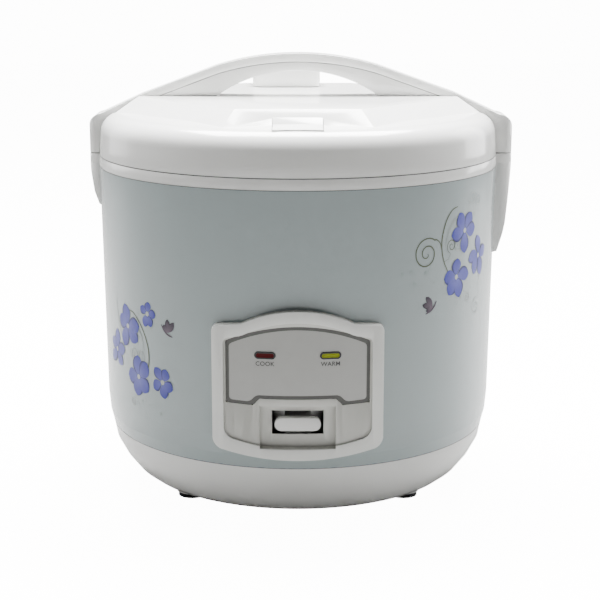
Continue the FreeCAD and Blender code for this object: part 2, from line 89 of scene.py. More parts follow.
def link(piece):
    bpy.context.scene.collection.objects.link(piece)
    return piece


def addPiece(name, mesh, body):  # a shown piece that moves with a body
    piece = link(bpy.data.objects.new(name, mesh))
    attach(piece, body)
    return piece


def setCamera():
    camera = bpy.data.objects.new("camera", bpy.data.cameras.new("camera"))
    camera.location = studio["cameraPlace"]
    camera.rotation_euler = (math.radians(studio["cameraPitch"]), 0, 0)
    camera.data.lens = studio["lens"]
    camera.data.shift_x = studio["shiftX"]
    camera.data.clip_start = 0.01
    bpy.context.scene.camera = link(camera)


def setLights():
    for name, (place, target, width, height, watts) in studio["lights"].items():
        lamp = bpy.data.lights.new(name, "AREA")
        lamp.shape = "RECTANGLE"
        lamp.size = width
        lamp.size_y = height
        lamp.energy = watts
        light = link(bpy.data.objects.new(name, lamp))
        light.location = place
        light.rotation_euler = aimed(place, target)


def setSky():  # dim in front and bright behind; the camera sees it white
    world = bpy.data.worlds.new("studioSky")
    world.use_nodes = True
    tree = world.node_tree
    place = addNode(tree, "ShaderNodeTexCoord")
    parts = addNode(tree, "ShaderNodeSeparateXYZ", {"Vector": place.outputs["Generated"]})
    depth = addNode(tree, "ShaderNodeMapRange", {"Value": parts.outputs["Y"], "From Min": -0.9,
                                                 "From Max": 0.5})
    shade = addNode(tree, "ShaderNodeMix", {0: depth.outputs["Result"]}, data_type="RGBA")
    shade.inputs[6].default_value = (*studio["skyFront"], 1)
    shade.inputs[7].default_value = (*studio["skyBack"], 1)
    path = addNode(tree, "ShaderNodeLightPath")
    seen = addNode(tree, "ShaderNodeMix", {0: path.outputs["Is Camera Ray"], 6: shade.outputs[2]},
                   data_type="RGBA")
    seen.inputs[7].default_value = (*studio["skySeen"], 1)
    tree.links.new(seen.outputs[2], tree.nodes["Background"].inputs["Color"])
    bpy.context.scene.world = world


def setFloor():
    reach = studio["floorReach"]
    floorMesh = bpy.data.meshes.new("floor")
    floorMesh.from_pydata([(-reach, -reach, 0), (reach, -reach, 0), (reach, reach, 0), (-reach, reach, 0)],
                          [], [(0, 1, 2, 3)])
    floor = link(bpy.data.objects.new("floor", floorMesh))
    paper = bpy.data.materials.new("floorPaper")
    paper.use_nodes = True
    shader = paper.node_tree.nodes["Principled BSDF"]
    shader.inputs["Base Color"].default_value = (*studio["floorColor"], 1)
    shader.inputs["Roughness"].default_value = studio["floorRough"]
    shader.inputs["Emission Color"].default_value = (1, 1, 0.99, 1)
    path = addNode(paper.node_tree, "ShaderNodeLightPath")
    glow = addNode(paper.node_tree, "ShaderNodeMath", {0: path.outputs["Is Camera Ray"],
                                                       1: studio["floorGlow"]}, operation="MULTIPLY")
    paper.node_tree.links.new(glow.outputs[0], shader.inputs["Emission Strength"])
    floorMesh.materials.append(paper)


setCamera()
setLights()
setSky()
setFloor()
print("studio set")


# Shader node groups that the finishes share

def newGroup(name, inputs, outputs):
    group = bpy.data.node_groups.new(name, "ShaderNodeTree")
    for title, kind, value in inputs:
        socket = group.interface.new_socket(title, in_out="INPUT", socket_type=kind)
        socket.default_value = value
    for title, kind in outputs:
        group.interface.new_socket(title, in_out="OUTPUT", socket_type=kind)
    start = group.nodes.new("NodeGroupInput")
    end = group.nodes.new("NodeGroupOutput")
    return group, start, end


# Slow light and dark drift of a colour, as moulded or painted parts have
def makeShadeDrift():
    group, start, end = newGroup(
        "shadeDrift",
        [("Color", "NodeSocketColor", (1, 1, 1, 1)), ("Amount", "NodeSocketFloat", 0.05),
         ("Scale", "NodeSocketFloat", 12.0)],
        [("Color", "NodeSocketColor"), ("Mask", "NodeSocketFloat")])
    place = addNode(group, "ShaderNodeTexCoord")
    noise = addNode(group, "ShaderNodeTexNoise", {"Vector": place.outputs["Object"],
                                                  "Scale": start.outputs["Scale"], "Detail": 3.0})
    spread = addNode(group, "ShaderNodeMath", {0: noise.outputs["Fac"], 1: 0.5}, operation="SUBTRACT")
    scaled = addNode(group, "ShaderNodeMath", {0: spread.outputs[0], 1: start.outputs["Amount"]},
                     operation="MULTIPLY")
    doubled = addNode(group, "ShaderNodeMath", {0: scaled.outputs[0], 1: 2.0, 2: 1.0},
                      operation="MULTIPLY_ADD")
    tinted = addNode(group, "ShaderNodeVectorMath", {0: start.outputs["Color"], 1: doubled.outputs[0]},
                     operation="MULTIPLY")
    group.links.new(tinted.outputs["Vector"], end.inputs["Color"])
    group.links.new(noise.outputs["Fac"], end.inputs["Mask"])
    return group


# Height of a fine skin: moulding texture, orange peel or cast grain
def makeFineGrain():
    group, start, end = newGroup(
        "fineGrain",
        [("Scale", "NodeSocketFloat", 900.0), ("Soft Scale", "NodeSocketFloat", 90.0)],
        [("Height", "NodeSocketFloat")])
    place = addNode(group, "ShaderNodeTexCoord")
    fine = addNode(group, "ShaderNodeTexNoise", {"Vector": place.outputs["Object"],
                                                 "Scale": start.outputs["Scale"], "Detail": 2.0})
    soft = addNode(group, "ShaderNodeTexNoise", {"Vector": place.outputs["Object"],
                                                 "Scale": start.outputs["Soft Scale"], "Detail": 1.0})
    both = addNode(group, "ShaderNodeMath", {0: fine.outputs["Fac"], 1: soft.outputs["Fac"]},
                   operation="ADD")
    group.links.new(both.outputs[0], end.inputs["Height"])
    return group


# Patchy mask of handling marks and faint scuffs
def makeRubbedSpots():
    group, start, end = newGroup(
        "rubbedSpots",
        [("Scale", "NodeSocketFloat", 40.0), ("Coverage", "NodeSocketFloat", 0.35)],
        [("Mask", "NodeSocketFloat")])
    place = addNode(group, "ShaderNodeTexCoord")
    stretched = addNode(group, "ShaderNodeMapping", {"Vector": place.outputs["Object"],
                                                     "Scale": (1.0, 1.0, 3.0)})
    noise = addNode(group, "ShaderNodeTexNoise", {"Vector": stretched.outputs["Vector"],
                                                  "Scale": start.outputs["Scale"], "Detail": 6.0,
                                                  "Roughness": 0.7})
    limit = addNode(group, "ShaderNodeMath", {0: 1.0, 1: start.outputs["Coverage"]},
                    operation="SUBTRACT")
    mask = addNode(group, "ShaderNodeMapRange", {"Value": noise.outputs["Fac"],
                                                 "From Min": limit.outputs[0], "From Max": 0.9})
    group.links.new(mask.outputs["Result"], end.inputs["Mask"])
    return group


# Mask of the sharpest outer edges, broken up by noise
def makeWornEdge():
    group, start, end = newGroup(
        "wornEdge",
        [("Sharpness", "NodeSocketFloat", 0.56), ("Scale", "NodeSocketFloat", 160.0)],
        [("Mask", "NodeSocketFloat")])
    place = addNode(group, "ShaderNodeTexCoord")
    geometry = addNode(group, "ShaderNodeNewGeometry")
    top = addNode(group, "ShaderNodeMath", {0: start.outputs["Sharpness"], 1: 0.08}, operation="ADD")
    edge = addNode(group, "ShaderNodeMapRange", {"Value": geometry.outputs["Pointiness"],
                                                 "From Min": start.outputs["Sharpness"],
                                                 "From Max": top.outputs[0]})
    noise = addNode(group, "ShaderNodeTexNoise", {"Vector": place.outputs["Object"],
                                                  "Scale": start.outputs["Scale"], "Detail": 4.0})
    broken = addNode(group, "ShaderNodeMath", {0: edge.outputs["Result"], 1: noise.outputs["Fac"]},
                     operation="MULTIPLY")
    group.links.new(broken.outputs[0], end.inputs["Mask"])
    return group


groups = {
    "shadeDrift": makeShadeDrift(),
    "fineGrain": makeFineGrain(),
    "rubbedSpots": makeRubbedSpots(),
    "wornEdge": makeWornEdge(),
}
print("shader groups made")


# Finishes. drift: colour change and its scale; grain: bump strength, fine and soft scale;
# rough: base and how much rubbing adds; edge: how far worn edges lighten;
# the bezel's sunken field: a darker colour as painted shade, and the radii in metres between which it gives
# way to the rim

finishes = {
    "whiteMoulding": {"color": (0.80, 0.80, 0.785), "drift": (0.02, 9), "rough": (0.20, 0.10),
                      "grain": (0.015, 700, 60), "coat": 0.35, "edge": 0.15},
    # the bezel's finish carries painted shade in its sunken field
    "bezelMoulding": {"color": (0.76, 0.765, 0.74), "drift": (0.02, 12), "rough": (0.24, 0.10),
                      "grain": (0.02, 700, 70), "coat": 0.25, "edge": 0.15,
                      "recessShade": (0.60, 0.60, 0.565), "recessShadeRadii": (0.1350, 0.1356)},
    "paleBlueShell": {"color": (0.315, 0.372, 0.382), "drift": (0.03, 7), "rough": (0.16, 0.08),
                      "grain": (0.012, 500, 45), "coat": 0.6, "edge": 0.1},
    "platedSteel": {"color": (0.60, 0.60, 0.57), "drift": (0.12, 30), "rough": (0.32, 0.2),
                    "grain": (0.05, 900, 120), "metal": 1.0, "edge": 0.3},
    "screwSteel": {"color": (0.52, 0.52, 0.51), "drift": (0.08, 60), "rough": (0.28, 0.2),
                   "grain": (0.05, 1500, 200), "metal": 1.0, "edge": 0.4},
    "footRubber": {"color": (0.045, 0.045, 0.047), "drift": (0.2, 40), "rough": (0.72, 0.15),
                   "grain": (0.25, 1200, 150), "edge": 0.2},
    "brushedLiner": {"color": (0.74, 0.74, 0.73), "drift": (0.06, 20), "rough": (0.30, 0.15),
                     "grain": (0.04, 800, 90), "metal": 1.0, "edge": 0.2},
    "potCoating": {"color": (0.035, 0.036, 0.038), "drift": (0.2, 15), "rough": (0.38, 0.15),
                   "grain": (0.08, 1600, 200), "edge": 0.25},
    "castPlate": {"color": (0.55, 0.55, 0.54), "drift": (0.15, 25), "rough": (0.45, 0.2),
                  "grain": (0.2, 600, 80), "metal": 1.0, "edge": 0.35},
    "ferrite": {"color": (0.06, 0.06, 0.062), "drift": (0.2, 50), "rough": (0.6, 0.15),
                "grain": (0.2, 900, 120), "edge": 0.3},
    "blackPlastic": {"color": (0.018, 0.018, 0.019), "drift": (0.15, 30), "rough": (0.42, 0.15),
                     "grain": (0.12, 1100, 150), "edge": 0.2},
    "wireSleeve": {"color": (0.50, 0.05, 0.04), "drift": (0.1, 60), "rough": (0.45, 0.15),
                   "grain": (0.1, 900, 200), "edge": 0.1},
    "silverPlate": {"color": (0.34, 0.34, 0.33), "drift": (0.03, 18), "rough": (0.30, 0.10),
                    "grain": (0.03, 1800, 300), "metal": 0.35, "coat": 0.3, "edge": 0.1},
    "redLens": {"color": (0.075, 0.002, 0.003), "drift": (0.1, 200), "rough": (0.30, 0.06),
                "grain": (0.02, 900, 200), "specular": 0.12},
    "yellowLens": {"color": (0.26, 0.30, 0.012), "drift": (0.1, 200), "rough": (0.30, 0.06),
                   "grain": (0.02, 900, 200), "specular": 0.15},
    "boardGreen": {"color": (0.03, 0.16, 0.06), "drift": (0.1, 80), "rough": (0.4, 0.1),
                   "grain": (0.05, 900, 200), "edge": 0.1},
    "lampGlass": {"color": (0.85, 0.78, 0.70), "drift": (0.05, 90), "rough": (0.08, 0.05),
                  "grain": (0.02, 900, 200), "clear": 0.9},
    "pinBrass": {"color": (0.72, 0.56, 0.28), "drift": (0.1, 80), "rough": (0.25, 0.15),
                 "grain": (0.05, 900, 200), "metal": 1.0, "edge": 0.3},
    "clearPlastic": {"color": (0.86, 0.88, 0.90), "drift": (0.02, 40), "rough": (0.10, 0.10),
                     "grain": (0.02, 700, 90), "clear": 0.75, "coat": 0.2},
    "silicone": {"color": (0.66, 0.66, 0.64), "drift": (0.04, 30), "rough": (0.52, 0.1),
                 "grain": (0.06, 900, 200)},
    "grooveGrey": {"color": (0.10, 0.10, 0.095), "drift": (0.1, 60), "rough": (0.55, 0.1),
                   "grain": (0.03, 900, 200)},
    "printInk": {"color": (0.06, 0.06, 0.06), "drift": (0.15, 300), "rough": (0.4, 0.1),
                 "grain": (0.02, 900, 200)},
}


skin = {"grainDepth": 0.0004, "coatRough": 0.06, "clearIndex": 1.45}  # depth in metres


def groupNode(tree, name, links):
    return addNode(tree, "ShaderNodeGroup", links, node_tree=groups[name])


def makeFinish(name, look):
    material = bpy.data.materials.new(name)
    material.use_nodes = True
    tree = material.node_tree
    shader = tree.nodes["Principled BSDF"]
    amount, scale = look["drift"]
    drift = groupNode(tree, "shadeDrift", {"Color": (*look["color"], 1), "Amount": amount,
                                           "Scale": float(scale)})
    color = drift.outputs["Color"]
    if look.get("recessShade"):
        # painted shade: the recessed field inside the raised rim is coloured darker than the rim
        place = addNode(tree, "ShaderNodeTexCoord")
        flat = addNode(tree, "ShaderNodeVectorMath", {0: place.outputs["Object"], 1: (1, 1, 0)},
                       operation="MULTIPLY")
        radius = addNode(tree, "ShaderNodeVectorMath", {0: flat.outputs["Vector"]}, operation="LENGTH")
        low, high = look["recessShadeRadii"]
        rim = addNode(tree, "ShaderNodeMapRange", {"Value": radius.outputs["Value"], "From Min": low,
                                                   "From Max": high})
        paintedShadeMix = addNode(tree, "ShaderNodeMix", {0: rim.outputs["Result"]}, data_type="RGBA")
        paintedShadeMix.inputs[6].default_value = (*look["recessShade"], 1)
        tree.links.new(color, paintedShadeMix.inputs[7])
        color = paintedShadeMix.outputs[2]
    if look.get("edge"):
        worn = groupNode(tree, "wornEdge", {})
        part = addNode(tree, "ShaderNodeMath", {0: worn.outputs["Mask"], 1: look["edge"]},
                       operation="MULTIPLY")
        lighter = addNode(tree, "ShaderNodeMix", {0: part.outputs[0]}, data_type="RGBA")
        tree.links.new(color, lighter.inputs[6])
        pale = [min(1.0, c * 1.5 + 0.05) for c in look["color"]]
        lighter.inputs[7].default_value = (*pale, 1)
        color = lighter.outputs[2]
    tree.links.new(color, shader.inputs["Base Color"])
    rubbed = groupNode(tree, "rubbedSpots", {})
    base, added = look["rough"]
    roughness = addNode(tree, "ShaderNodeMath", {0: rubbed.outputs["Mask"], 1: added, 2: base},
                        operation="MULTIPLY_ADD")
    tree.links.new(roughness.outputs[0], shader.inputs["Roughness"])
    strength, fine, soft = look["grain"]
    grain = groupNode(tree, "fineGrain", {"Scale": float(fine), "Soft Scale": float(soft)})
    bump = addNode(tree, "ShaderNodeBump", {"Strength": strength, "Distance": skin["grainDepth"],
                                            "Height": grain.outputs["Height"]})
    tree.links.new(bump.outputs["Normal"], shader.inputs["Normal"])
    shader.inputs["Metallic"].default_value = look.get("metal", 0.0)
    shader.inputs["Specular IOR Level"].default_value = look.get("specular", 0.5)
    shader.inputs["Coat Weight"].default_value = look.get("coat", 0.0)
    shader.inputs["Coat Roughness"].default_value = skin["coatRough"]
    if look.get("clear"):
        shader.inputs["Transmission Weight"].default_value = look["clear"]
        shader.inputs["IOR"].default_value = skin["clearIndex"]
    return material


materials = {name: makeFinish(name, look) for name, look in finishes.items()}

slotFinish = {
    "shell_paint": "paleBlueShell", "white_plastic": "whiteMoulding", "plated_steel": "platedSteel",
    "screw_steel": "screwSteel", "rubber": "footRubber", "liner_aluminium": "brushedLiner",
    "pot_coating": "potCoating", "cast_aluminium": "castPlate", "ferrite": "ferrite",
    "black_plastic": "blackPlastic", "wire_sleeve": "wireSleeve", "silver_plate": "silverPlate",
    "red_lens": "redLens", "yellow_lens": "yellowLens", "board_green": "boardGreen",
    "lamp_glass": "lampGlass", "pin_brass": "pinBrass", "clear_plastic": "clearPlastic",
    "silicone": "silicone",
}

for name, node in nodes.items():
    node.data.materials.clear()
    node.data.materials.append(materials[slotFinish[nodeSlot[name]]])
nodes["panel_bezel"].data.materials[0] = materials["bezelMoulding"]
print("finishes made:", len(materials))


# Moulded and pressed parts: the CAD part with its edges rounded as a tool would leave them

roundings = {
    # width of the rounding in mm
    "handle_cover": 2.6, "handle_shell": 1.4, "lid_top": 5.0, "rim_ring": 0.5, "left_ear": 1.5,
    "right_ear": 1.5, "panel_bezel": 0.9, "hinge_cover": 2.2, "vent_cap": 0.5,
    "release_button": 1.0, "cook_lever": 2.2, "power_inlet": 0.8, "condensation_cup": 0.8,
    "base": 0.5, "bottom_cover": 0.25, "hinge_bracket": 0.4,
}
roundingAngles = {"lid_top": 18}  # degrees; the lid's creases are shallow
usualAngle = 32
weldGap = 0.00002  # metres; closer points become one
flatAngle = 0.5  # degrees; flatter joints between faces go


# A copy of a CAD part with its sharp edges rounded; it stands for that part
def softened(name, width):
    mesh = nodes[name].data.copy()
    mesh.name = name + "Soft"
    work = bmesh.new()
    work.from_mesh(mesh)
    bmesh.ops.remove_doubles(work, verts=work.verts, dist=weldGap)
    bmesh.ops.dissolve_limit(work, angle_limit=math.radians(flatAngle), verts=work.verts,
                             edges=work.edges)
    bmesh.ops.connect_verts_concave(work, faces=work.faces)
    work.to_mesh(mesh)
    work.free()
    piece = link(bpy.data.objects.new(name + "Soft", mesh))
    bevel = piece.modifiers.new("rounding", "BEVEL")
    bevel.width = width * mm
    bevel.segments = 3
    bevel.limit_method = "ANGLE"
    bevel.angle_limit = math.radians(roundingAngles.get(name, usualAngle))
    bevel.miter_outer = "MITER_ARC"
    bevel.use_clamp_overlap = True
    bevel.harden_normals = True
    for face in mesh.polygons:
        face.use_smooth = True
    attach(piece, nodeBody[name])
    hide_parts(name)
    return piece


for name, width in roundings.items():
    softened(name, width)
print("edges rounded:", len(roundings))


# Fine dark lines where the mouldings meet

seams = {
    # radius, height of the middle, width of the line in mm
    "lidSeam": (131.06, 225.35, 0.60),
    "collarSeam": (131.42, 218.3, 0.40),
    "baseSeam": (126.22, 46.0, 0.60),
}
handleSeam = {
    # half length of the line, its width, how far under the handle's top it runs, half depth of the grip
    "halfLength": 93.0, "width": 0.5, "drop": 5.5, "depth": 9.0, "lift": 0.04,
    # the bow over the grip, then straight slopes down to the feet
    "topZ": 290.0, "bowHalf": 53, "bowRise": 7.8, "footX": 104, "leftFootZ": 263.0, "rightFootZ": 264.0,
    # the grip grows deeper past this place, by this much for each mm
    "flareX": 90, "flare": 4 / 35,
}


# A thin ribbon between two rows of points; a closed one repeats its first point
def strip(name, rows, body):
    lower, upper = rows
    count = len(lower)
    mesh = bpy.data.meshes.new(name)
    mesh.from_pydata(lower + upper, [], [(i, i + 1, count + i + 1, count + i) for i in range(count - 1)])
    mesh.materials.append(materials["grooveGrey"])
    for face in mesh.polygons:
        face.use_smooth = True
    return addPiece(name, mesh, body)


def makeSeams():
    for name, (radius, z, width) in seams.items():
        rows = []
        for side in (-1, 1):
            rows.append([Vector((radius * math.cos(math.radians(2 * a)),
                                 radius * math.sin(math.radians(2 * a)),
                                 z + side * width / 2)) * mm for a in range(181)])
        strip(name, rows, "cooker_body")


# Height of the parting line between the handle's halves
def handleSeamZ(x):
    look = handleSeam
    reach = abs(x)
    half = look["bowHalf"]
    shoulder = look["topZ"] - look["bowRise"]
    foot = look["leftFootZ"] if x < 0 else look["rightFootZ"]
    if reach > half:
        slope = (shoulder - foot) / (look["footX"] - half)
        return foot + slope * (look["footX"] - reach) - look["drop"]
    bow = (half ** 2 + look["bowRise"] ** 2) / (2 * look["bowRise"])
    return look["topZ"] - bow + math.sqrt(bow ** 2 - reach ** 2) - look["drop"]


def makeHandleSeams():
    for side in (-1, 1):
        rows = []
        for edge in (-1, 1):
            row = []
            for i in range(63):
                x = handleSeam["halfLength"] * (i / 31 - 1)
                flare = max(0, abs(x) - handleSeam["flareX"]) * handleSeam["flare"]
                depth = handleSeam["depth"] + flare + handleSeam["lift"]
                row.append(Vector((x, side * depth, handleSeamZ(x) + edge * handleSeam["width"] / 2)) * mm)
            rows.append(row)
        strip("handleSeam", rows, nodeBody["handle_cover"])


makeSeams()
makeHandleSeams()
print("seam lines made")


# Printed flowers and scrolls on the shell

shellShape = {"lowZ": 66.0, "lowR": 129.2, "topZ": 218.4, "topR": 131.3}

printLook = {
    "petalDeep": (0.045, 0.050, 0.36), "petalPale": (0.13, 0.135, 0.46), "petalLine": (0.03, 0.03, 0.12),
    "heart": (0.50, 0.53, 0.50), "scroll": (0.10, 0.115, 0.075), "paleScroll": (0.30, 0.34, 0.33),
    "wing": (0.16, 0.12, 0.16), "wingEdge": (0.035, 0.03, 0.045), "dot": (0.28, 0.34, 0.34),
}


# A point of the print: an angle round the body, mm to the right of it and mm of height
def onShell(angle, across, up, lift):
    along = (up - shellShape["lowZ"]) / (shellShape["topZ"] - shellShape["lowZ"])
    radius = shellShape["lowR"] + along * (shellShape["topR"] - shellShape["lowR"])
    turn = math.radians(angle) + across / radius
    radius += lift
    return Vector((radius * math.sin(turn) * mm, -radius * math.cos(turn) * mm, up * mm))


# Collects flat printed shapes that lie on the shell, in layers
class Print:

    def __init__(self, name):
        self.name = name
        self.points = []
        self.faces = []
        self.uvs = []
        self.inks = []
        self.names = []

    # rows: lists of (across, up, u, v), all of one length
    def grid(self, rows, ink, angle, lift):
        if ink not in self.names:
            self.names.append(ink)
        first = len(self.points)
        width = len(rows[0])
        for row in rows:
            for across, up, u, v in row:
                self.points.append(onShell(angle, across, up, lift))
                self.uvs.append((u, v))
        for i in range(len(rows) - 1):
            for j in range(width - 1):
                a = first + i * width + j
                self.faces.append((a, a + 1, a + width + 1, a + width))
                self.inks.append(self.names.index(ink))

    def build(self):
        mesh = bpy.data.meshes.new(self.name)
        mesh.from_pydata(self.points, [], self.faces)
        layer = mesh.uv_layers.new(name="print")
        for loop in mesh.loops:
            layer.data[loop.index].uv = self.uvs[loop.vertex_index]
        for ink in self.names:
            mesh.materials.append(inks[ink])
        for face, ink in zip(mesh.polygons, self.inks):
            face.material_index = ink
            face.use_smooth = True
        return addPiece(self.name, mesh, nodeBody["outer_shell"])


# Print ink that fades from the root of a petal (u = 0) to its tip (u = 1)
def makeInk(name, near, far, line=None):
    material = bpy.data.materials.new(name)
    material.use_nodes = True
    tree = material.node_tree
    shader = tree.nodes["Principled BSDF"]
    uv = addNode(tree, "ShaderNodeUVMap")
    uv.uv_map = "print"
    parts = addNode(tree, "ShaderNodeSeparateXYZ", {"Vector": uv.outputs["UV"]})
    ramp = addNode(tree, "ShaderNodeValToRGB", {"Fac": parts.outputs["X"]})
    ramp.color_ramp.elements[0].color = (*near, 1)
    ramp.color_ramp.elements[1].color = (*far, 1)
    color = ramp.outputs["Color"]
    if line:
        rim = addNode(tree, "ShaderNodeMapRange", {"Value": parts.outputs["Y"], "From Min": 0.80,
                                                   "From Max": 0.97})
        edged = addNode(tree, "ShaderNodeMix", {0: rim.outputs["Result"]}, data_type="RGBA")
        tree.links.new(color, edged.inputs[6])
        edged.inputs[7].default_value = (*line, 1)
        color = edged.outputs[2]
    drift = groupNode(tree, "shadeDrift", {"Color": color, "Amount": 0.12, "Scale": 160.0})
    tree.links.new(drift.outputs["Color"], shader.inputs["Base Color"])
    rubbed = groupNode(tree, "rubbedSpots", {})
    roughness = addNode(tree, "ShaderNodeMath", {0: rubbed.outputs["Mask"], 1: 0.1, 2: 0.34},
                        operation="MULTIPLY_ADD")
    tree.links.new(roughness.outputs[0], shader.inputs["Roughness"])
    shader.inputs["Specular IOR Level"].default_value = 0.3
    return material


inks = {
    "petal": makeInk("petalInk", printLook["petalPale"], printLook["petalDeep"],
                     printLook["petalLine"]),
    "farPetal": makeInk("farPetalInk", printLook["petalDeep"], printLook["petalPale"],
                        printLook["petalLine"]),
    "heart": makeInk("heartInk", printLook["heart"], printLook["heart"]),
    "scroll": makeInk("scrollInk", printLook["scroll"], printLook["scroll"]),
    "paleScroll": makeInk("paleScrollInk", printLook["paleScroll"], printLook["paleScroll"]),
    "wing": makeInk("wingInk", printLook["wing"], printLook["wingEdge"], printLook["wingEdge"]),
    "dot": makeInk("dotInk", printLook["dot"], printLook["dot"]),
}


# One petal from its root, pointing at a heading in degrees, with a bent tip
def petal(sheet, ink, angle, root, heading, length, width, bend, lift):
    rows = []
    steps = 10
    for i in range(steps + 1):
        t = i / steps
        half = width / 2 * math.sin(math.pi * (0.03 + 0.97 * t) ** 1.25) ** 0.7
        turn = math.radians(heading + bend * t)
        middle = (root[0] + length * t * math.cos(turn), root[1] + length * t * math.sin(turn))
        row = []
        for j in range(7):
            side = j / 3 - 1
            row.append((middle[0] - half * side * math.sin(turn),
                        middle[1] + half * side * math.cos(turn), t, (side + 1) / 2))
        rows.append(row)
    sheet.grid(rows, ink, angle, lift)


# Five petals round a pale heart; flat below 1 narrows it, as seen from the side
def flower(sheet, angle, up, size, turn, ink, flat, lift, seed):
    chance = random.Random(seed)
    for k in range(5):
        heading = turn + 72 * k + chance.uniform(-9, 9)
        reach = size * chance.uniform(0.86, 1.12)
        root = (1.2 * math.cos(math.radians(heading)) * flat, up + 1.2 * math.sin(math.radians(heading)))
        petal(sheet, ink, angle, root, heading, reach, size * 0.80 * flat, chance.uniform(-22, 22),
              lift + 0.012 * k)
    ring = []
    for radius in (0.05, 1.6):
        ring.append([(radius * math.cos(a * math.pi / 6) * flat, up + radius * math.sin(a * math.pi / 6),
                      0, 0.5) for a in range(13)])
    sheet.grid(ring, "heart", angle, lift + 0.07)


# A pen line through points (across, up), thinning to its end
def stroke(sheet, ink, angle, points, width, lift):
    rows = []
    count = len(points)
    for i, (across, up) in enumerate(points):
        before = points[max(0, i - 1)]
        after = points[min(count - 1, i + 1)]
        run = Vector((after[0] - before[0], after[1] - before[1])).normalized()
        half = width / 2 * (1 - 0.55 * abs(2 * i / (count - 1) - 1) ** 3)
        rows.append([(across + side * half * -run.y, up + side * half * run.x, 0.5, 0.5)
                     for side in (-1, 1)])
    sheet.grid(rows, ink, angle, lift)


# Points of a spiral that winds in on its centre, after an optional stem
def curl(center, startRadius, turns, startTurn, way=1, stem=()):
    points = list(stem)
    steps = int(26 * turns)
    for i in range(steps + 1):
        t = i / steps
        radius = startRadius * (1 - t) ** 0.9 + 0.5
        turn = math.radians(startTurn) + way * t * turns * 2 * math.pi
        points.append((center[0] + radius * math.cos(turn), center[1] + radius * math.sin(turn)))
    return points


# A smooth bow through three points
def arch(start, peak, end, steps=24):
    points = []
    for i in range(steps + 1):
        t = i / steps
        control = [2 * peak[k] - (start[k] + end[k]) / 2 for k in (0, 1)]
        points.append(tuple((1 - t) ** 2 * start[k] + 2 * t * (1 - t) * control[k] + t * t * end[k]
                            for k in (0, 1)))
    return points


# A smooth path through its knots
def flowing(knots, steps=8):
    points = []
    ends = [knots[0]] + list(knots) + [knots[-1]]
    for a, b, c, d in zip(ends, ends[1:], ends[2:], ends[3:]):
        for i in range(steps):
            t = i / steps
            points.append(tuple(0.5 * (2 * b[k] + (c[k] - a[k]) * t + (2 * a[k] - 5 * b[k] + 4 * c[k] - d[k])
                                       * t * t + (3 * b[k] - a[k] - 3 * c[k] + d[k]) * t ** 3)
                                for k in (0, 1)))
    return points + [tuple(knots[-1])]


def dots(sheet, angle, spots, lift):
    for across, up, radius in spots:
        ring = [[(across + r * math.cos(a * math.pi / 5), up + r * math.sin(a * math.pi / 5), 0, 0.5)
                 for a in range(11)] for r in (0.02, radius)]
        sheet.grid(ring, "dot", angle, lift)


# Three wings above a thin dark body, leaned by the tilt
def butterfly(sheet, angle, across, up, size, tilt, lift):
    for k, (heading, reach) in enumerate(((70, 0.95), (105, 0.85), (140, 0.5))):
        petal(sheet, "wing", angle, (across, up), heading + tilt, size * reach, size * 0.42, 14,
              lift + 0.012 * k)
    lean = math.radians(tilt)
    body = []
    for along, rise in ((-0.6, 0.12), (-0.2, -0.04), (0.2, -0.04), (0.55, 0.1)):
        body.append((across + size * (along * math.cos(lean) - rise * math.sin(lean)),
                     up + size * (along * math.sin(lean) + rise * math.cos(lean))))
    stroke(sheet, "wing", angle, flowing(body), 1.1, lift + 0.05)


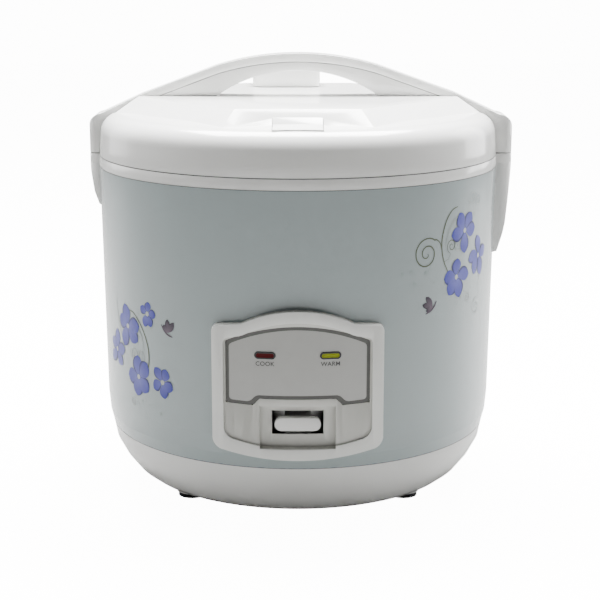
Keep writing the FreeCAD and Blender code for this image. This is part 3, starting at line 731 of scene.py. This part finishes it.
# angles are degrees round the body, lengths are mm on its surface
sprays = {
    "rightSpray": {
        "turn": 50.0,
        # ink, width, lift, path
        "lines": [
            ("scroll", 0.95, 0.10,
             flowing([(-8, 158), (-15, 169), (-17.5, 181), (-14.5, 193), (-9, 200), (-3, 202)])),
            ("paleScroll", 0.55, 0.10, flowing([(-14, 178), (-11, 188), (-6, 194), (0, 196)])),
            ("scroll", 0.85, 0.11, flowing([(-17.3, 176), (-18.6, 180.5), (-21, 183), (-23.2, 184)])
             + curl((-30, 175.5), 9.8, 1.9, 50)),
            ("scroll", 0.5, 0.12, curl((-8, 178), 4.2, 1.7, -100, -1, [(-15, 169), (-11, 170)])),
            ("paleScroll", 0.5, 0.12, curl((-1, 177), 4.6, 1.7, -60)),
            ("paleScroll", 0.4, 0.10, curl((14, 206), 4, 1.5, 200, 1, [(13, 191), (10, 198)])),
            ("paleScroll", 0.4, 0.10, curl((22, 203), 4, 1.5, 180, -1, [(15, 190), (17, 197)])),
            ("paleScroll", 0.5, 0.10, arch((10, 172), (6, 178), (9, 186))),
            ("paleScroll", 0.45, 0.10, curl((24, 134), 5.5, 1.5, 60, 1, [(27, 163), (28, 148)])),
            ("paleScroll", 0.45, 0.10, curl((11, 142), 2.5, 1.3, 90, -1, [(6, 148), (9, 146)])),
        ],
        # angle from the spray's turn, height, size, heading of a petal, ink, flatness, seed
        "flowers": [(2.4, 186, 12, 62, "petal", 1.0, 3), (-1, 157.5, 12, 20, "petal", 1.0, 8),
                    (11, 167, 12, 88, "farPetal", 0.9, 5)],
        # across, height, radius
        "dots": [(-16, 186, 0.7), (-14, 182, 0.55), (-16, 180, 0.4), (-44, 172, 0.6),
                 (-42, 166, 0.9), (-48, 165, 1.1), (-30, 164, 1.2), (-27, 166, 0.7),
                 (-39, 158, 0.9), (-23, 157, 0.7), (-15, 152, 0.6), (-13, 148, 0.6),
                 (3, 144, 0.9), (-1, 141, 0.5), (-8, 138, 0.4)],
        "butterfly": {"angle": 37.5, "across": 4, "up": 141, "size": 10, "tilt": 40},
    },
    "leftSpray": {
        "turn": -50.0,
        "lines": [
            ("scroll", 0.95, 0.10,
             flowing([(5, 93), (9, 103), (8.5, 114), (3, 125), (-5, 132.5), (-11, 134)])),
            ("paleScroll", 0.55, 0.10, flowing([(5, 110), (2, 120), (-4, 127), (-9, 128)])),
            ("paleScroll", 0.5, 0.12, curl((1, 106), 3.6, 1.6, -80, 1, [(8, 100), (4, 99)])),
            ("paleScroll", 0.5, 0.12, curl((-6, 106), 4.0, 1.6, -120, -1)),
            ("paleScroll", 0.5, 0.10, arch((-30, 142), (-27, 124), (-18, 104))),
            ("paleScroll", 0.45, 0.10, curl((-9, 74), 2.4, 1.3, 70, 1, [(-5, 80), (-7, 78)])),
        ],
        "flowers": [(-6, 123, 13, 100, "petal", 1.0, 12), (-1, 92, 13.5, 108, "petal", 1.0, 9),
                    (9.5, 93, 9.5, 130, "petal", 1.0, 21), (4, 135, 7.5, 90, "petal", 1.0, 4),
                    (-14, 104, 12, 80, "farPetal", 0.9, 6)],
        "dots": [(-1, 122, 0.7), (0, 118, 0.55), (1, 76, 0.7), (4, 78, 0.5), (7, 75, 0.5),
                 (12, 76, 0.5), (16, 77, 0.5), (19, 72, 1.1), (5, 68, 0.6), (-4, 74, 0.9),
                 (-1, 133, 0.7)],
        "butterfly": {"angle": -38.5, "across": 0, "up": 126, "size": 10, "tilt": -36},
    },
}
dotLift = 0.1  # mm off the shell
flowerLift = 0.14


def makeSpray(name, spray):
    sheet = Print(name)
    turn = spray["turn"]
    for ink, width, lift, path in spray["lines"]:
        stroke(sheet, ink, turn, path, width, lift)
    for shift, up, size, heading, ink, flat, seed in spray["flowers"]:
        flower(sheet, turn + shift, up, size, heading, ink, flat, flowerLift, seed)
    dots(sheet, turn, spray["dots"], dotLift)
    butterfly(sheet, lift=flowerLift, **spray["butterfly"])
    return sheet.build()


for name, spray in sprays.items():
    makeSpray(name, spray)
print("flowers printed")


# Panel: dark joint round the plate, and its words

panel = {
    "plateR": 134.4, "seatR": 132.8, "halfWidth": 43.6, "sideTop": 127.6, "apex": 137.5,
    "bottom": 89.0, "step": 92.6, "stepHalf": 23.0, "jointWidth": 2.1, "wordSize": 3.7,
    "wordZ": 113.2, "lampX": 19.7, "lampZ": 119.6, "stepFoot": 27, "stepDip": 0.6, "cornerRadius": 3.0,
    "wordSpacing": 1.05, "wordBold": 0.00005, "wordLift": 0.18, "jointLift": 0.12, "rimLift": 0.35,
    # width, height and lift of the rings that make a lens rim
    "rimRings": [(12.9, 4.6, 0.0), (12.6, 4.3, 0.5), (10.9, 2.7, 0.5), (10.9, 2.7, 0.2)],
    "words": {-1: "COOK", 1: "WARM"},
}


def onPanel(x, z, radius):
    return Vector((x * mm, -math.sqrt(radius ** 2 - x ** 2) * mm, z * mm))


# A closed outline with a short curve at each corner
def roundedCorners(corners, radius):
    points = []
    count = len(corners)
    for i, corner in enumerate(corners):
        here = Vector(corner)
        back = Vector(corners[i - 1]) - here
        on = Vector(corners[(i + 1) % count]) - here
        reach = min(radius, back.length / 2, on.length / 2)
        start, end = here + back.normalized() * reach, here + on.normalized() * reach
        for k in range(7):
            t = k / 6
            points.append(start * (1 - t) ** 2 + here * (2 * t * (1 - t)) + end * t * t)
    return points


# The plate's outline: stepped over the pocket and arched at the top
def plateEdge(inset):
    half = panel["halfWidth"] - inset
    low = panel["bottom"] + inset
    step = panel["step"] + inset
    foot = panel["stepFoot"] + inset
    dip = panel["stepDip"]
    side = panel["sideTop"] - inset
    rise = panel["apex"] - inset - side
    bow = (half ** 2 + rise ** 2) / (2 * rise)
    corners = [(-half, low), (-foot, low - dip), (-panel["stepHalf"] - inset, step), (-12, step),
               (0, step), (12, step), (panel["stepHalf"] + inset, step), (foot, low - dip),
               (half, low), (half, (low + side) / 2), (half, side)]
    for i in range(1, 24):
        x = half - 2 * half * i / 24
        corners.append((x, panel["apex"] - inset - bow + math.sqrt(bow ** 2 - x ** 2)))
    corners += [(-half, side), (-half, (low + side) / 2)]
    return roundedCorners(corners, panel["cornerRadius"] - inset * 0.4)


# The grey line round the plate: a thin ring that stands up from its seat
def makePanelJoint():
    outer = plateEdge(0.05)
    inner = plateEdge(panel["jointWidth"])
    points = []
    low = panel["seatR"] + 0.1
    high = panel["plateR"] + panel["jointLift"]
    for ring, radius in ((outer, low), (outer, high), (inner, high), (inner, low)):
        points += [onPanel(x, z, radius) for x, z in ring]
    count = len(outer)
    faces = []
    for k in range(4):
        for i in range(count):
            j = (i + 1) % count
            top = ((k + 1) % 4) * count
            faces.append((k * count + i, k * count + j, top + j, top + i))
    mesh = bpy.data.meshes.new("panelJoint")
    mesh.from_pydata(points, [], faces)
    mesh.materials.append(materials["grooveGrey"])
    return addPiece("panelJoint", mesh, nodeBody["panel_plate"])


# A printed word bent round the plate
def makeWord(word, centerX):
    curve = bpy.data.curves.new(word.lower() + "Word", "FONT")
    curve.body = word
    curve.size = panel["wordSize"] * mm
    curve.align_x = "CENTER"
    curve.space_character = panel["wordSpacing"]
    curve.offset = panel["wordBold"]
    flat = link(bpy.data.objects.new(word.lower() + "Flat", curve))
    shaped = bpy.data.meshes.new_from_object(flat)
    bpy.data.objects.remove(flat)
    for vertex in shaped.vertices:
        x = centerX + vertex.co.x / mm
        vertex.co = onPanel(x, panel["wordZ"] + vertex.co.y / mm, panel["plateR"] + panel["wordLift"])
    shaped.materials.clear()
    shaped.materials.append(materials["printInk"])
    return addPiece(word.lower() + "Word", shaped, nodeBody["panel_plate"])


# The dark edge round an indicator lens
def makeLensRim(centerX):
    around = 32
    points = []
    for width, height, lift in panel["rimRings"]:
        radius = height / 2
        out = panel["plateR"] + panel["rimLift"] + lift
        for i in range(around):
            turn = 2 * math.pi * i / around
            shift = (width / 2 - radius) * (1 if math.cos(turn) > 0 else -1)
            points.append(onPanel(centerX + shift + radius * math.cos(turn),
                                  panel["lampZ"] + radius * math.sin(turn), out))
    faces = []
    for k in range(0, around * (len(panel["rimRings"]) - 1), around):
        for i in range(around):
            j = (i + 1) % around
            faces.append((k + i, k + j, k + around + j, k + around + i))
    mesh = bpy.data.meshes.new("lensRim")
    mesh.from_pydata(points, [], faces)
    mesh.materials.append(materials["blackPlastic"])
    return addPiece("lensRim", mesh, nodeBody["panel_plate"])


makePanelJoint()
for side in panel["words"]:
    makeLensRim(side * panel["lampX"])
for side, word in panel["words"].items():
    makeWord(word, side * panel["lampX"])
print("panel joint and words made")
